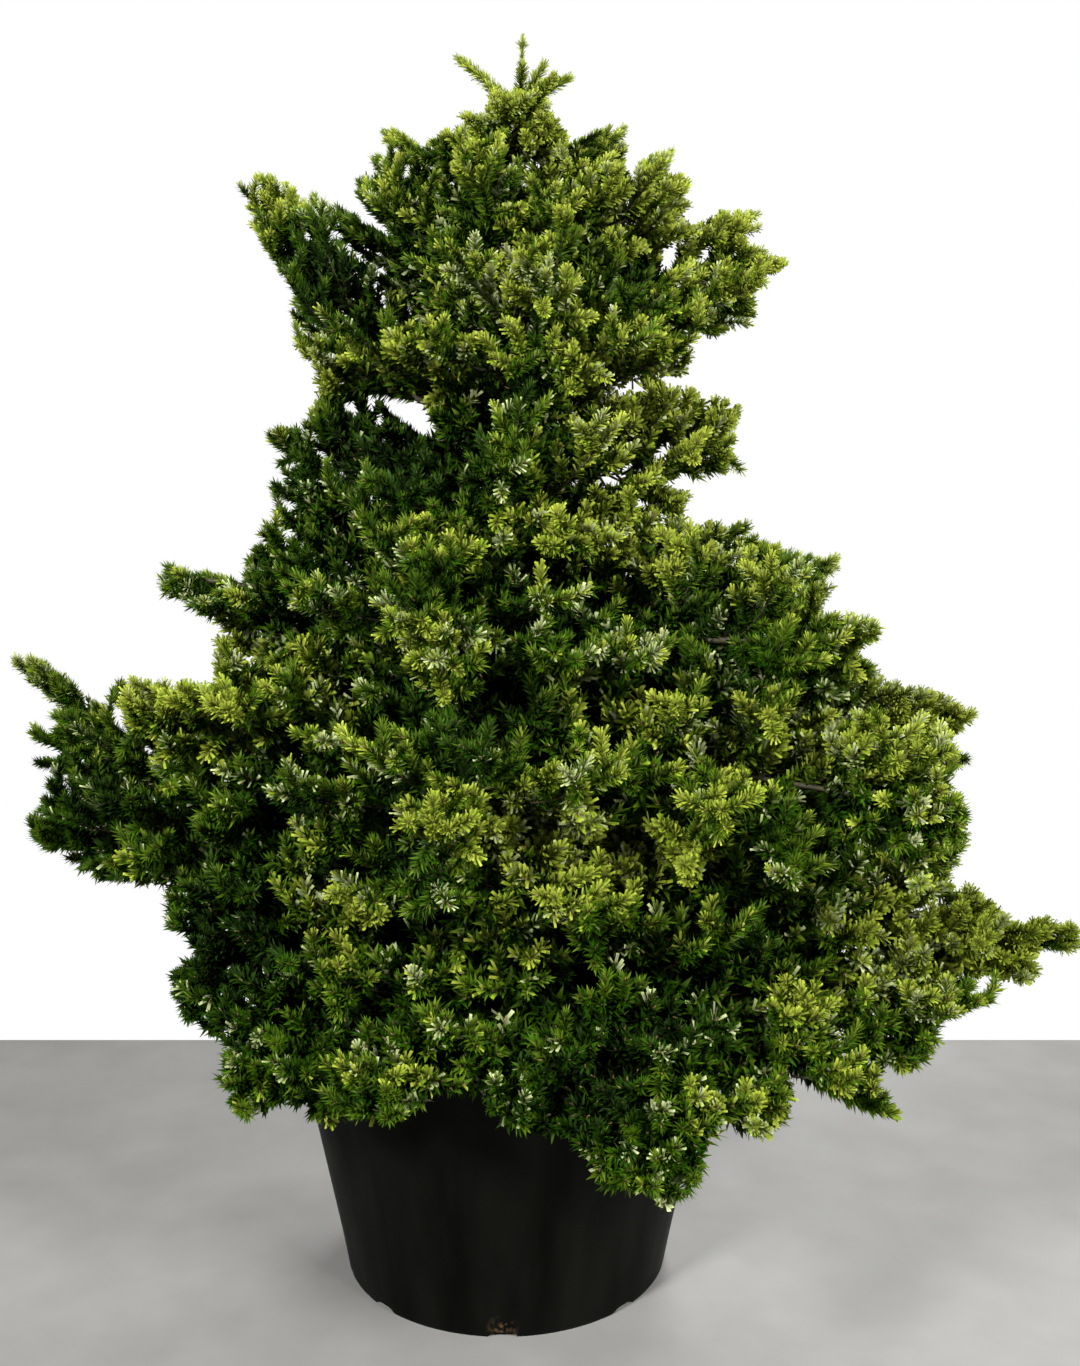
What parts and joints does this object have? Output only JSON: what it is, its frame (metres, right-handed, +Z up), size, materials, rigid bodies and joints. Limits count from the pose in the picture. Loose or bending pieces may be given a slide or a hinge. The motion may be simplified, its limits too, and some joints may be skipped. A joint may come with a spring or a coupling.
{
  "type": "potted korean fir",
  "caption": "Young korean fir, broad and cone shaped, standing in soil in a plain black nursery pot.",
  "frame": {"origin": "centre of the pot's flat underside", "axes": "+Z up along the trunk, +X to the right and -Y to the front of the crown"},
  "size_m": [1.417, 1.1688, 1.6221],
  "materials": {
    "pot_plastic": "satin",
    "potting_soil": "matte",
    "bark": "matte",
    "needles": "satin"
  },
  "bodies": {
    "root": {"pot": "pot_plastic", "soil": "potting_soil", "trunk": "bark", "mass_leader": "needles", "mass_top_1": "needles", "mass_top_2": "needles", "mass_top_3": "needles", "mass_upper_1": "needles", "mass_upper_2": "needles", "mass_upper_3": "needles", "mass_upper_4": "needles", "mass_high_1": "needles", "mass_high_2": "needles", "mass_high_3": "needles", "mass_high_4": "needles", "mass_waist_1": "needles", "mass_waist_2": "needles", "mass_waist_3": "needles", "mass_waist_4": "needles", "mass_shoulder_1": "needles", "mass_shoulder_2": "needles", "mass_shoulder_3": "needles", "mass_shoulder_4": "needles", "mass_shoulder_5": "needles", "bough_middle_1": "bark", "mass_middle_1": "needles", "bough_middle_2": "bark", "mass_middle_2": "needles", "bough_middle_3": "bark", "mass_middle_3": "needles", "bough_middle_4": "bark", "mass_middle_4": "needles", "bough_middle_5": "bark", "mass_middle_5": "needles", "bough_middle_6": "bark", "mass_middle_6": "needles", "bough_middle_7": "bark", "mass_middle_7": "needles", "bough_low_1": "bark", "mass_low_1": "needles", "bough_low_2": "bark", "mass_low_2": "needles", "bough_low_3": "bark", "mass_low_3": "needles", "bough_low_4": "bark", "mass_low_4": "needles", "bough_low_5": "bark", "mass_low_5": "needles", "bough_low_6": "bark", "mass_low_6": "needles", "bough_low_7": "bark", "mass_low_7": "needles", "bough_low_8": "bark", "mass_low_8": "needles", "bough_low_9": "bark", "mass_low_9": "needles", "bough_low_10": "bark", "mass_low_10": "needles", "bough_low_11": "bark", "mass_low_11": "needles"}
  },
  "joints": []
}
